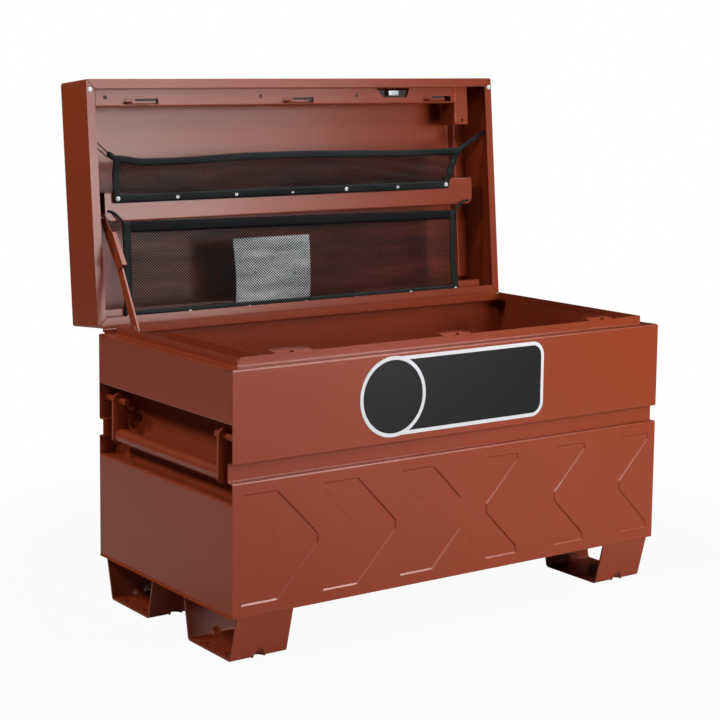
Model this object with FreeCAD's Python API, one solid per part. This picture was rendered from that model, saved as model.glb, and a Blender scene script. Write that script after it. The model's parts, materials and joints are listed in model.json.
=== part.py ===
import FreeCAD, Part
import math
import os

# Steel jobsite storage chest with its lid open, on four open strap feet.
# Millimetres. X to the right, Y to the back, Z up. Origin: centre of the footprint, on the floor.
# The lid is modelled in its own frame (x, s, w): s runs from the hinge edge to the front edge,
# and w points out of the open face, so depths inside the lid are negative w.

V = FreeCAD.Vector

# ---- driving dimensions -------------------------------------------------------------------
WIDTH = 1067.0            # outside, side to side
DEPTH = 508.0             # outside, front to back
SHEET = 2.0               # body and lid sheet thickness
BEND = 1.5                # inside bend radius of the folded sheets

SKIRT_Z = 90.0            # bottom edge of the walls
SHOULDER_Z = 551.0        # flat shoulder that the closed lid sits over
RIM_Z = 568.0             # top of the upstand inside the shoulder
RIM_INSET = 26.6          # outer wall to the outer face of the upstand

GROOVE_Z = (343.0, 376.0)     # stiffening groove across the front and the back
GROOVE_DEPTH = 15.0
RECESS_Z = (304.0, 449.0)     # handle recess in each side
RECESS_LEDGE = 32.0
RECESS_DEPTH = 77.5
SIDE_FLARE = 2.5              # outward hem at the foot of the side walls

CHEVRON_Z = (112.0, 320.0)    # pressed chevrons on the lower front
CHEVRON_STARTS = (-515.0, -332.0, -149.0)
CHEVRON_BAR = 80.0
CHEVRON_REACH = 172.0
CHEVRON_PRESS = 2.6

FOOT_X = (397.0, 521.0)
FOOT_OUTER_Y = (228.0, 251.5)     # outer leg: at the floor, at the top
FOOT_INNER_Y = (76.0, 57.0)       # inner leg: at the floor, at the top
FOOT_STRAP = 4.0
FOOT_HOLE_R = 6.0
FOOT_HOLE_X = (415.0, 503.0)
FOOT_HOLE_Y = (120.0, 194.0)
DART_R = 13.0             # rounded darts in the feet's bottom bends
DART_RISE = 19.0

LID_ANGLE = 5.1           # degrees that the open lid leans back past upright
LID_ORIGIN = V(0, 257.0, 561.0)
LID_CLOSED_Z = 554.0      # height of the lid's open face once closed
LID_LENGTH = 505.0
LID_DEPTH = 115.0
LID_FLANGE = 18.5

HINGE_Y, HINGE_Z = 258.7, 556.1
HINGE_R = 4.2
HINGE_PIN_R = 1.75
HINGE_SPAN = 1040.0
HINGE_KNUCKLES = 5
LEAF = 1.5
LEAF_DROP = 28.0

HANDLE_X, HANDLE_Z = 515.0, 420.0
HANDLE_DROP = 71.0
HANDLE_ARM_Y = 197.0      # inner face of each arm
HANDLE_ARM = 6.0          # thickness of the arms
GRIP_R = 15.0
PIN_R = 6.5
LUG_Z = (370.0, 393.0)    # stop lugs behind the arms
LUG_FACE = HANDLE_X - 21
RUNNING = 0.05            # radial clearance of every running fit

STAY_FOOT = (166.3, 564.9)    # (y, z) of the pivot on the rim
STAY_LOWER = 175.0            # pivot to pivot
STAY_UPPER = 77.2
STAY_LOWER_ANGLE = 61.0       # degrees above the back direction, lid open
STAY_UPPER_ANGLE = 55.1
STAY_PIN_R = 4.0
STAY_X = -500.5               # left face of the upper link; the arm runs inside it
STAY_WIDTH = 10.0
STAY_ARM = 4.0

RAIL_W = -26.0            # front face of the latch channel in the lid
HOOK_STARTS = (-433.0, -38.0, 352.0)      # left ends of the hooks' slots in the channel
HOOK_TIPS = (-372.0, 12.0, 396.0)         # tips of the hooks, on an even pitch
HOOK_SLOT = 80.0
HOOK_STEM = 16.0
HOOK_S = (455.0, 459.0)
HOOK_W = (-12.0, -4.0)    # the arm of each hook, in front of the channel
LATCH_TRAVEL = 20.0
KEEPER_TOP = 574.0

HALF_W = WIDTH / 2
HALF_D = DEPTH / 2
RIM_X = HALF_W - RIM_INSET
RIM_Y = HALF_D - RIM_INSET


# ---- small helpers ------------------------------------------------------------------------
def box(x0, x1, y0, y1, z0, z1):
    """Box between two corners."""
    return Part.makeBox(x1 - x0, y1 - y0, z1 - z0, V(x0, y0, z0))


def rod(radius, start, end):
    """Round bar between two points."""
    axis = end - start
    return Part.makeCylinder(radius, axis.Length, start, axis)


def prism(points, travel):
    """Polygon swept along a vector."""
    return Part.Face(Part.makePolygon(points + points[:1])).extrude(travel)


def join(shapes):
    """One solid out of touching or overlapping ones."""
    whole = shapes[0].fuse(shapes[1:]) if len(shapes) > 1 else shapes[0]
    return whole.removeSplitter()


def mirror_x(shape):
    return shape.mirror(V(0, 0, 0), V(1, 0, 0))


def mirror_y(shape):
    return shape.mirror(V(0, 0, 0), V(0, 1, 0))


def group(shapes):
    """Several separate solids kept in one piece, such as identical fasteners."""
    return Part.makeCompound(shapes)


def offset_left(points, distance):
    """Polyline moved to its left by a distance, with mitred corners."""
    moved = []
    for i, (u, v) in enumerate(points):
        before = points[max(i - 1, 0)]
        after = points[min(i + 1, len(points) - 1)]
        first = unit_normal(before, (u, v)) if i else unit_normal((u, v), after)
        second = unit_normal((u, v), after) if i < len(points) - 1 else first
        reach = distance / (1 + first[0] * second[0] + first[1] * second[1])
        moved.append((u + (first[0] + second[0]) * reach, v + (first[1] + second[1]) * reach))
    return moved


def unit_normal(start, end):
    du, dv = end[0] - start[0], end[1] - start[1]
    length = math.hypot(du, dv)
    return -dv / length, du / length


def rounded(points, radius_at, to_space):
    """Edges along a polyline whose inner corners are rounded by radius_at(index)."""
    edges, last = [], points[0]
    for i in range(1, len(points) - 1):
        enter, middle, leave = corner_arc(points[i - 1], points[i], points[i + 1], radius_at(i))
        edges.append(Part.LineSegment(to_space(*last), to_space(*enter)).toShape())
        edges.append(Part.Arc(to_space(*enter), to_space(*middle), to_space(*leave)).toShape())
        last = leave
    edges.append(Part.LineSegment(to_space(*last), to_space(*points[-1])).toShape())
    return edges


def corner_arc(before, corner, after, radius):
    """Start, middle and end of the arc that rounds a corner."""
    a = V(before[0] - corner[0], before[1] - corner[1], 0).normalize()
    b = V(after[0] - corner[0], after[1] - corner[1], 0).normalize()
    half = a.getAngle(b) / 2
    run = radius / math.tan(half)
    centre = V(*corner, 0) + (a + b).normalize() * (radius / math.sin(half))
    middle = centre - (a + b).normalize() * radius
    enter, leave = V(*corner, 0) + a * run, V(*corner, 0) + b * run
    return (enter.x, enter.y), (middle.x, middle.y), (leave.x, leave.y)


def folded(points, to_space, travel, sheet=SHEET, bend=BEND):
    """Sheet folded along a polyline: thickness on the polyline's left, swept along travel."""
    def turn(i):
        (u0, v0), (u1, v1), (u2, v2) = points[i - 1:i + 2]
        return (u1 - u0) * (v2 - v1) - (v1 - v0) * (u2 - u1)

    inside = offset_left(points, sheet)
    outer = rounded(points, lambda i: bend + sheet if turn(i) > 0 else bend, to_space)
    inner = rounded(inside, lambda i: bend if turn(i) > 0 else bend + sheet, to_space)
    first = Part.LineSegment(to_space(*points[0]), to_space(*inside[0])).toShape()
    last = Part.LineSegment(to_space(*points[-1]), to_space(*inside[-1])).toShape()
    wire = Part.Wire(Part.__sortEdges__(outer + [last] + inner + [first]))
    return Part.Face(wire).extrude(travel)


def in_yz(x):
    return lambda y, z: V(x, y, z)


def in_xz(y):
    return lambda x, z: V(x, y, z)


def link_plate(start, end, radius_start, radius_end, thickness):
    """Plate with round ends, in the plane of start and end, swept along +X."""
    body = Part.makeCylinder(radius_start, thickness, start, V(1, 0, 0))
    tip = Part.makeCylinder(radius_end, thickness, end, V(1, 0, 0))
    along = (end - start).normalize()
    across = V(0, -along.z, along.y)
    corners = [start + across * radius_start, end + across * radius_end,
               end - across * radius_end, start - across * radius_start]
    return join([body, prism(corners, V(thickness, 0, 0)), tip])


def lid_place(point):
    """(s, w) of a point (y, z) of the open lid."""
    a = math.radians(LID_ANGLE)
    y, z = point[0] - LID_ORIGIN.y, point[1] - LID_ORIGIN.z
    return y * math.sin(a) + z * math.cos(a), z * math.sin(a) - y * math.cos(a)


def on_lid(shape):
    """Take a shape from the lid's own frame to its open place on the chest."""
    a = math.radians(LID_ANGLE)
    frame = FreeCAD.Matrix(1, 0, 0, LID_ORIGIN.x,
                           0, math.sin(a), -math.cos(a), LID_ORIGIN.y,
                           0, math.cos(a), math.sin(a), LID_ORIGIN.z,
                           0, 0, 0, 1)
    placed = shape.copy()
    placed.Placement = FreeCAD.Placement(frame).multiply(placed.Placement)
    return placed


# ---- chest walls --------------------------------------------------------------------------
def end_wall(sign):
    """Front (-1) or rear (+1) wall: skirt, groove, upper band, shoulder and upstand in one sheet."""
    low, high = GROOVE_Z
    outline = [(-RIM_Y, RIM_Z), (-RIM_Y, SHOULDER_Z), (-HALF_D, SHOULDER_Z), (-HALF_D, high),
               (-HALF_D + GROOVE_DEPTH, high), (-HALF_D + GROOVE_DEPTH, low),
               (-HALF_D, low), (-HALF_D, SKIRT_Z)]
    wall = folded(outline, in_yz(-HALF_W), V(WIDTH, 0, 0))
    for side in (-1, 1):
        x0, x1 = sorted((side * (RIM_X - SHEET), side * (HALF_W + 1)))
        wall = wall.cut(box(x0, x1, -RIM_Y, -RIM_Y + 9, SHOULDER_Z - SHEET - 3, RIM_Z + 1))
        wall = wall.cut(box(x0, x1, -RIM_Y - 3, -RIM_Y + 9, SHOULDER_Z, RIM_Z + 1))
        end, bevel = side * (RIM_X - SHEET), 6.0
        corner = [(end, RIM_Z - bevel), (end - side * bevel, RIM_Z), (end, RIM_Z)]
        wall = wall.cut(prism([V(x, -RIM_Y - 1, z) for x, z in corner], V(0, SHEET + 2, 0)))
    return wall if sign < 0 else mirror_y(wall)


def chevron_outline(start, grow):
    """Corner points (x, z) of one chevron pointing right, grown outwards by a margin."""
    low, high = CHEVRON_Z
    middle = (low + high) / 2
    nose = 9.0
    tip, bar = start + CHEVRON_REACH, CHEVRON_BAR
    return [(start - grow, low - grow), (start + bar + grow * 0.3, low - grow),
            (tip + grow, middle - nose), (tip + grow, middle + nose),
            (start + bar + grow * 0.3, high + grow), (start - grow, high + grow),
            (start - grow, high - 14), (start + bar - grow * 1.2, middle + nose),
            (start + bar - grow * 1.2, middle - nose), (start - grow, low + 14)]


def chevron_block(start, y_wide, y_narrow, grow):
    """Solid between a wide outline at one depth and the same outline, narrower, further in."""
    wires = []
    for y, margin in ((y_wide, grow), (y_narrow, grow - CHEVRON_PRESS)):
        corners = [V(x, y, z) for x, z in chevron_outline(start, margin)]
        wires.append(Part.makePolygon(corners + corners[:1]))
    return Part.makeLoft(wires, True, True)


def press_chevrons(wall):
    """Press three chevrons into each half of the front wall, all pointing to the middle."""
    outside = -HALF_D
    backing = [chevron_block(x, outside + SHEET - 0.5, outside + SHEET + CHEVRON_PRESS - 0.5, SHEET)
               for x in CHEVRON_STARTS]
    pocket = [chevron_block(x, outside, outside + CHEVRON_PRESS, 0.0) for x in CHEVRON_STARTS]
    backing = join(backing + [mirror_x(b) for b in backing])
    pocket = join(pocket + [mirror_x(p) for p in pocket])
    return wall.fuse(backing).cut(pocket)


def side_lower():
    """Left lower side: skirt, recess ledge and the sloping back of the handle recess."""
    low, high = RECESS_Z
    back_x = -HALF_W + RECESS_DEPTH
    outline = [(back_x, high), (back_x, high - 9), (-HALF_W + RECESS_LEDGE, low),
               (-HALF_W, low), (-HALF_W, SKIRT_Z + 6), (-HALF_W - SIDE_FLARE, SKIRT_Z)]
    length = DEPTH - 2 * SHEET
    wall = folded(outline, in_xz(-length / 2), V(0, length, 0))
    inner, margin, press = HALF_D - GROOVE_DEPTH - SHEET, SHEET + BEND, HALF_D - 2 * SHEET - CHEVRON_PRESS
    for end in (-1, 1):
        for reach, z0, z1 in ((inner, GROOVE_Z[0] - margin, GROOVE_Z[1] + margin), (press, low - SHEET, 325)):
            y0, y1 = sorted((end * reach, end * HALF_D))
            wall = wall.cut(box(-HALF_W + 13, back_x + 9, y0, y1, z0, z1))
    return wall


def side_upper():
    """Left upper side: recess ceiling, upper band, shoulder and upstand."""
    outline = [(-RIM_X, RIM_Z), (-RIM_X, SHOULDER_Z), (-HALF_W, SHOULDER_Z),
               (-HALF_W, RECESS_Z[1]), (-HALF_W + RECESS_DEPTH + 15, RECESS_Z[1])]
    length = DEPTH - 2 * SHEET
    wall = folded(outline, in_xz(-length / 2), V(0, length, 0))
    for y0, y1 in ((-HALF_D, -RIM_Y), (RIM_Y, HALF_D)):
        wall = wall.cut(box(-HALF_W - 1, -RIM_X + 9, y0, y1, SHOULDER_Z - SHEET - BEND, RIM_Z + 1))
    return wall


def inner_rail():
    """Upright guard on the left recess ceiling, between the lid stay and the load."""
    x = -HALF_W + RECESS_DEPTH + 13
    z = RECESS_Z[1] + SHEET
    outline = [(x - 22, z), (x, z), (x, RIM_Z - 3)]
    return folded(outline, in_xz(-RIM_Y + SHEET), V(0, RIM_Y - SHEET + 130, 0))


def floor_pan():
    """Floor plate with a low upturned edge that is welded to the walls."""
    x, y, z = HALF_W - SHEET, HALF_D - SHEET, SKIRT_Z + 2
    return box(-x, x, -y, y, z, z + 16).cut(
        box(-x + SHEET, x - SHEET, -y + SHEET, y - SHEET, z + SHEET, z + 17))


# ---- feet ---------------------------------------------------------------------------------
def dart(outer_leg):
    """Arched bars that cut a dart into a foot's bottom bend and that make its hood."""
    x = -(FOOT_X[0] + FOOT_X[1]) / 2
    y, toward = (-FOOT_OUTER_Y[0], 1) if outer_leg else (-FOOT_INNER_Y[0], -1)
    lean = (FOOT_OUTER_Y[1] - FOOT_OUTER_Y[0]) * DART_RISE / SKIRT_Z
    slope, out = V(0, toward, -1).normalize(), V(0, -toward, -1).normalize()
    start = V(x, y - toward * lean, DART_RISE) + out * DART_R - slope * 50
    bars = []
    for radius in (DART_R, DART_R + FOOT_STRAP * 0.75):
        arch = []
        for turn in range(0, 181, 30):
            a = math.radians(turn)
            arch.append(start + V(radius * math.cos(a), 0, 0) - out * (radius * math.sin(a)))
        bars.append(prism(arch + [arch[-1] + out * 30, arch[0] + out * 30], slope * 100))
    return bars


def foot():
    """Front left foot: one strap bent into a trapezoid, open to the sides."""
    outline = [(-FOOT_OUTER_Y[1], SKIRT_Z + 2), (-FOOT_OUTER_Y[0], 0),
               (-FOOT_INNER_Y[0], 0), (-FOOT_INNER_Y[1], SKIRT_Z + 2)]
    width = FOOT_X[1] - FOOT_X[0]
    strap = folded(outline, in_yz(-FOOT_X[1]), V(width, 0, 0), sheet=FOOT_STRAP, bend=4.0)
    strap = strap.cut(box(-FOOT_X[1] - 1, 1 - FOOT_X[0], -HALF_D, 0, SKIRT_Z + 2, SKIRT_Z + 9))
    inside = prism([V(-FOOT_X[1], y, z) for y, z in outline], V(width, 0, 0))
    for outer_leg in (True, False):
        cut, hood = dart(outer_leg)
        strap = strap.fuse(hood.common(inside)).cut(cut)
    for x in FOOT_HOLE_X:
        for y in FOOT_HOLE_Y:
            strap = strap.cut(rod(FOOT_HOLE_R, V(-x, -y, -1), V(-x, -y, FOOT_STRAP + 1)))
    return strap


# ---- handles ------------------------------------------------------------------------------
def handle_pivot(y):
    return V(-HANDLE_X, y, HANDLE_Z)


def handle_pins():
    """Pivot pins of the left handle, each welded to an end wall and free at its inner end."""
    inner, outer = HANDLE_ARM_Y - 27, HALF_D - SHEET
    return group([rod(PIN_R, handle_pivot(s * inner), handle_pivot(s * outer)) for s in (-1, 1)])


def recess_back_x(z):
    """X of the sloping recess back at a height."""
    low, high = RECESS_Z
    share = (z - low) / (high - 9 - low)
    return -HALF_W + RECESS_LEDGE + share * (RECESS_DEPTH - RECESS_LEDGE)


def handle_bracket(side):
    """Stop lug behind a handle arm, on a base plate that is welded to the recess back."""
    def slab(z0, z1, face0, face1, y0, y1):
        corners = [(recess_back_x(z0), z0), (face0, z0), (face1, z1), (recess_back_x(z1), z1)]
        return prism([V(x, side * y0, z) for x, z in corners], V(0, side * (y1 - y0), 0))

    (low, high), edge, plate = LUG_Z, 4.0, 3.0
    lug = slab(low, high, -LUG_FACE, -LUG_FACE, HANDLE_ARM_Y - 1, HANDLE_ARM_Y + 17)
    z0, z1 = low - edge, high + edge
    base = slab(z0, z1, recess_back_x(z0) - plate, recess_back_x(z1) - plate,
                HANDLE_ARM_Y - 6, HANDLE_ARM_Y + 22)
    return join([lug, base])


def handle_arm(side):
    """Flat arm of the left handle, widening from its pivot eye to the grip."""
    eye_r, foot_r = 17.0, GRIP_R + 3
    y = side * HANDLE_ARM_Y - (0 if side > 0 else HANDLE_ARM)
    top, bottom = V(-HANDLE_X, y, HANDLE_Z), V(-HANDLE_X, y, HANDLE_Z - HANDLE_DROP)
    along = V(0, HANDLE_ARM, 0)
    upper = [V(-eye_r, 0, 0), V(eye_r, 0, 0)]
    lower = [V(foot_r, 0, -8), V(8, 0, -foot_r), V(-8, 0, -foot_r), V(-foot_r, 0, -8)]
    blade = prism([top + c for c in upper] + [bottom + c for c in lower], along)
    arm = join([rod(eye_r, top, top + along), blade])
    return arm.cut(rod(PIN_R + RUNNING, top - along, top + along * 2))


def handle_grip():
    """Tubular grip between the arms of the left handle."""
    z = HANDLE_Z - HANDLE_DROP
    start, end = V(-HANDLE_X, -HANDLE_ARM_Y, z), V(-HANDLE_X, HANDLE_ARM_Y, z)
    return rod(GRIP_R, start, end).cut(rod(GRIP_R - 2.5, start, end))


# ---- hinge --------------------------------------------------------------------------------
def knuckle_spans(lid_side):
    """X ranges of the knuckles that belong to the lid or to the chest."""
    pitch = HINGE_SPAN / HINGE_KNUCKLES
    spans = [(-HINGE_SPAN / 2 + i * pitch + 0.25, -HINGE_SPAN / 2 + (i + 1) * pitch - 0.25)
             for i in range(HINGE_KNUCKLES)]
    return spans[1::2] if lid_side else spans[0::2]


def hinge_leaf(lid_side, leaf, axis, bore):
    """Leaf with its knuckles on, and notched where the other leaf's knuckles turn."""
    clear = HINGE_R + 0.5
    y0, y1, z0, z1 = axis.y - clear, axis.y + clear, axis.z - clear, axis.z + clear
    for x0, x1 in knuckle_spans(lid_side):
        leaf = leaf.fuse(rod(HINGE_R, V(x0, axis.y, axis.z), V(x1, axis.y, axis.z)))
    for x0, x1 in knuckle_spans(not lid_side):
        leaf = leaf.cut(box(x0 - 0.25, x1 + 0.25, y0, y1, z0, z1))
    ends = HINGE_SPAN / 2 + 1
    return leaf.cut(rod(bore, V(-ends, axis.y, axis.z), V(ends, axis.y, axis.z)))


def hinge_body_leaf():
    half = HINGE_SPAN / 2
    leaf = box(-half, half, HALF_D, HALF_D + LEAF, HINGE_Z - LEAF_DROP, HINGE_Z)
    return hinge_leaf(False, leaf, V(0, HINGE_Y, HINGE_Z), HINGE_PIN_R)


def hinge_lid_leaf():
    """In the lid's frame the hinge axis lies just outside the hinge edge."""
    half = HINGE_SPAN / 2
    s, w = HALF_D - HINGE_Y, -(HINGE_Z - LID_CLOSED_Z)
    leaf = box(-half, half, -LEAF, 0, w - LEAF_DROP, w)
    return hinge_leaf(True, leaf, V(0, s, w), HINGE_PIN_R + RUNNING)


def hinge_pin():
    half = HINGE_SPAN / 2
    return rod(HINGE_PIN_R, V(-half, HINGE_Y, HINGE_Z), V(half, HINGE_Y, HINGE_Z))


# ---- lid ----------------------------------------------------------------------------------
def lid_shell():
    """Pan with an inward flange round its open face and a mouth for the lock pocket."""
    outer = box(-HALF_W, HALF_W, 0, LID_LENGTH, -LID_DEPTH, 0)
    corners = [e for e in outer.Edges if abs(e.tangentAt(e.FirstParameter).z) > 0.9]
    outer = outer.makeFillet(5.0, corners)
    skin = [e for e in outer.Edges if e.BoundBox.ZMax < -LID_DEPTH + 0.01]
    outer = outer.makeFillet(4.0, skin)
    t = SHEET
    inner = box(-HALF_W + t, HALF_W - t, t, LID_LENGTH - t, -LID_DEPTH + t, -t)
    mouth = box(-HALF_W + LID_FLANGE, HALF_W - LID_FLANGE, 20, LID_LENGTH - 19, -t - 1, 1)
    x0, x1, w0, w1 = lock_pocket()
    lock_mouth = box(x0, x1, LID_LENGTH - 6, LID_LENGTH + 1, w0, w1)
    shell = outer.cut(inner).cut(mouth).cut(lock_mouth)
    for side in (-1, 1):
        for edge, into in ((0, 1), (LID_LENGTH, -1)):
            shell = shell.cut(mitre_seam(side, edge, into))
    return shell


def mitre_seam(side, edge, into):
    """Narrow gap where two flanges of the lid meet at a corner."""
    start, end, half = 3.5, 20.5, 0.5
    corners = [(start - half, start + half), (end - half, end + half),
               (end + half, end - half), (start + half, start - half)]
    points = [V(side * (HALF_W - a), edge + into * b, -SHEET) for a, b in corners]
    return prism(points, V(0, 0, SHEET + 1))


def lock_pocket():
    """Clear space inside the lock housing: X range and w range."""
    return 443.5, 479.0, -74.0, RAIL_W - SHEET


def lock_housing():
    """Boxed pocket for the padlock beside the channel, open through the front of the lid."""
    x0, x1, w0, w1 = lock_pocket()
    shell = box(x0 - 2, x1 + 2, 400, LID_LENGTH - SHEET, w0 - 2, w1 + 2)
    shell = shell.cut(box(x0, x1, 402, LID_LENGTH, w0, w1))
    shell = shell.cut(box(x0 - 3, x0 + 1, 455, 483, -39, -29))
    return shell.cut(rod(3.0, V(x0 + 20.5, 409, w1 - 1), V(x0 + 20.5, 409, w1 + 3)))


def latch_channel():
    """Channel behind the lid's front edge that guides the latch bar."""
    front = LID_LENGTH - SHEET
    outline = [(front, RAIL_W - 32), (front, RAIL_W), (450, RAIL_W), (450, RAIL_W - 32)]
    left, right = -500.0, lock_pocket()[0] - 2
    channel = folded(outline, in_yz(left), V(right - left, 0, 0))
    for x in HOOK_STARTS:
        channel = channel.cut(box(x, x + HOOK_SLOT, HOOK_S[0] - 1, HOOK_S[1] + 7, RAIL_W - 5, RAIL_W + 1))
    window = [V(236, 464, 1), V(302, 464, 1), V(312, 485, 1), V(216, 485, 1)]
    return channel.cut(prism([p + V(0, 0, RAIL_W) for p in window], V(0, 0, -6)))


def guide_places():
    return -478.0, -97.0, 161.0


def bar_guides():
    """Bent straps on the back of the channel that the latch bar slides in."""
    back, floor = RAIL_W - SHEET, RAIL_W - 12.5
    outline = [(484, back), (484, floor), (454, floor), (454, back), (456, back), (456, floor + SHEET),
               (482, floor + SHEET), (482, back)]
    return group([prism([V(x - 12, s, w) for s, w in outline], V(24, 0, 0)) for x in guide_places()])


def latch_bar():
    """Flat bar that slides along the back of the channel."""
    return box(-492, lock_pocket()[0] - 27, 457, 481, RAIL_W - 10, RAIL_W - 5)


def latch_hook(slot, tip):
    """Hook that comes out through its slot and turns along the channel, with a root on the bar."""
    x, bar = slot + 3, RAIL_W - 5
    low, high = HOOK_W
    outline = [(x, bar), (x + HOOK_STEM, bar), (x + HOOK_STEM, low), (tip - 7, low),
               (tip, low + 5), (tip, high), (x + 4, high), (x, high - 4)]
    s0, s1 = HOOK_S
    blade = prism([V(u, s0, w) for u, w in outline], V(0, s1 - s0, 0))
    return join([blade, box(x, x + HOOK_STEM + 8, s0, s1 + 11, bar, bar + 2.7)])


def latch_hooks():
    return group([latch_hook(slot, tip) for slot, tip in zip(HOOK_STARTS, HOOK_TIPS)])


def latch_lug():
    """Cast driving lug of the bar, seen through the channel's window."""
    lug = box(246, 276, 467, 481, RAIL_W - 5, RAIL_W + 7)
    top = [e for e in lug.Edges if e.BoundBox.ZMin > RAIL_W + 6.9]
    return lug.makeFillet(2.5, top)


def latch_keeper(slot, tip):
    """Guard bar on the front upstand, with a tongue that the hook slides under once thrown."""
    y, tongue_z = -RIM_Y + SHEET, LID_CLOSED_Z - HOOK_W[0] + 1.5
    guard_depth, depth = 18, 27
    leg = box(slot + 8, slot + 41, y, y + 3, SHOULDER_Z + 2, KEEPER_TOP)
    guard = box(slot + 3, slot + 59, y, y + guard_depth, tongue_z + 3.5, KEEPER_TOP)
    corners = [(slot + 50, 0), (tip + 29, 0), (tip + 29, depth),
               (tip + 2.5, depth), (tip + 2.5, guard_depth), (slot + 50, guard_depth)]
    tongue = prism([V(x, y + across, tongue_z) for x, across in corners], V(0, 0, 4))
    return join([leg, guard, tongue])


def latch_keepers():
    return group([latch_keeper(slot, tip) for slot, tip in zip(HOOK_STARTS, HOOK_TIPS)])


def mid_stiffener():
    """Deep hat section across the lid, with a slot near each end for the nets' cords."""
    skin, face, bottom, top = -LID_DEPTH + SHEET, -30.0, 214.0, 275.0
    outline = [(bottom + 14, skin), (bottom, skin), (bottom, face),
               (top, face), (top, skin), (top - 14, skin)]
    reach, corner_r = 488.0, 19.0
    hat = folded(outline[::-1], in_yz(-reach), V(2 * reach, 0, 0), sheet=1.5)
    for x, s in ((-479, 236), (474, 222)):
        hat = hat.cut(box(x - 5, x + 5, s - 2.5, s + 2.5, face - 3, face + 1))
    for side in (-1, 1):
        centre = V(side * (reach - corner_r), bottom + corner_r, face - 12)
        x0, x1 = sorted((centre.x, side * (reach + 1)))
        waste = box(x0, x1, bottom - 1, bottom + corner_r, face - 12, face + 1)
        hat = hat.cut(waste.cut(rod(corner_r, centre, centre + V(0, 0, 14))))
    return hat


def end_stiffener():
    """Shallow hat section up the right end of the lid."""
    skin = -LID_DEPTH + SHEET
    outline = [(529, skin), (523, skin + 14), (496, skin + 14), (490, skin)]
    strip = folded(outline, lambda x, w: V(x, 40, w), V(0, 400, 0), sheet=1.5)
    return strip.cut(box(480, 540, 39, 441, skin - 3, skin))


def hinge_rail():
    """Angle along the hinge edge inside the lid that carries the lower hem of the net."""
    outline = [(34, -30), (SHEET, -30), (SHEET, -60)]
    return folded(outline, in_yz(-500), V(1000, 0, 0))


def net(x0, x1, s0, s1):
    """Flat panel that stands for one storage net, just in front of the stiffeners."""
    return box(x0, x1, s0, s1, -30, -28)


# ---- lid stay -----------------------------------------------------------------------------
def polar(start, length, degrees):
    a = math.radians(degrees)
    return (start[0] + length * math.cos(a), start[1] + length * math.sin(a))


def stay_elbow():
    return polar(STAY_FOOT, STAY_LOWER, STAY_LOWER_ANGLE)


def stay_head():
    return polar(stay_elbow(), STAY_UPPER, STAY_UPPER_ANGLE)


def at(x, point):
    return V(x, point[0], point[1])


def stay_bracket():
    """Plate on the left upstand with the stay's lower pivot."""
    y, z = STAY_FOOT
    wall, head_x = -RIM_X + SHEET, STAY_X + 3 + STAY_ARM + 0.5
    plate = box(wall, wall + SHEET, y - 16, y + 16, SHOULDER_Z + 1, z + 11)
    top = [e for e in plate.Edges if abs(e.tangentAt(e.FirstParameter).x) > 0.9 and e.BoundBox.ZMin > z]
    plate = plate.makeChamfer(8.0, top)
    pin = rod(STAY_PIN_R, at(wall, STAY_FOOT), at(head_x, STAY_FOOT))
    return join([plate, pin, rod(7.0, at(head_x, STAY_FOOT), at(head_x + 1.5, STAY_FOOT))])


def stay_lower_arm():
    """Flat arm from the rim to the elbow pin, which is riveted into it."""
    x, elbow = STAY_X + 3, stay_elbow()
    arm = link_plate(at(x, STAY_FOOT), at(x, elbow), 11.0, 10.0, STAY_ARM)
    arm = arm.cut(rod(STAY_PIN_R, at(x - 1, elbow), at(x + STAY_ARM + 1, elbow)))
    return arm.cut(rod(STAY_PIN_R + RUNNING, at(x - 1, STAY_FOOT), at(x + STAY_ARM + 1, STAY_FOOT)))


def stay_elbow_pin():
    return rod(STAY_PIN_R, at(STAY_X - 0.5, stay_elbow()), at(STAY_X + STAY_WIDTH + 0.5, stay_elbow()))


def stay_channel():
    """Upper link: a channel round the elbow whose left side runs on as an ear to the lid's pivot."""
    elbow, head = stay_elbow(), stay_head()
    along = V(0, head[0] - elbow[0], head[1] - elbow[1]).normalize()
    forward = V(0, -along.z, along.y)
    wall, ear_r, front, back, tail, crown = 1.5, 9.5, 17.6, 12.7, -42.0, 42.0

    def plate(x, thickness, corners):
        return prism([at(x, elbow) + forward * f + along * a for f, a in corners], V(thickness, 0, 0))

    sides = [(front, tail), (front, crown - 8), (front - 6, crown), (-back + 1, crown),
             (-back, 9), (-back + 2, -9), (-back + 6.6, tail)]
    inside = [(front - wall, tail - 9), (front - wall, crown + 9), (-40, crown + 9), (-40, tail - 9)]
    neck = [(front - 3, crown - 12), (ear_r, STAY_UPPER), (-ear_r, STAY_UPPER), (-back, 9)]
    body = plate(STAY_X, STAY_WIDTH, sides)
    hollow = plate(STAY_X + wall, STAY_WIDTH - 2 * wall, inside)
    ear = plate(STAY_X, wall, neck)
    eye = rod(ear_r, at(STAY_X, head), at(STAY_X + wall, head))
    channel = join([body.cut(hollow), ear, eye])
    return channel.cut(rod(STAY_PIN_R + RUNNING, at(STAY_X - 1, elbow), at(STAY_X + STAY_WIDTH + 1, elbow)))


def stay_lid_bracket():
    """Bracket on the lid's side wall; its stud passes over the closed chest's rim to the stay's head."""
    (s, w), wall = lid_place(stay_head()), -HALF_W + SHEET
    outline = [(-511, w + 7), (-511, w - 21), (wall, w - 21)]
    plate = folded(outline, lambda x, z: V(x, s - 18, z), V(0, 36, 0))
    return join([plate, rod(STAY_PIN_R - 1, V(-510, s, w), V(STAY_X - 0.6, s, w))])


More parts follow.
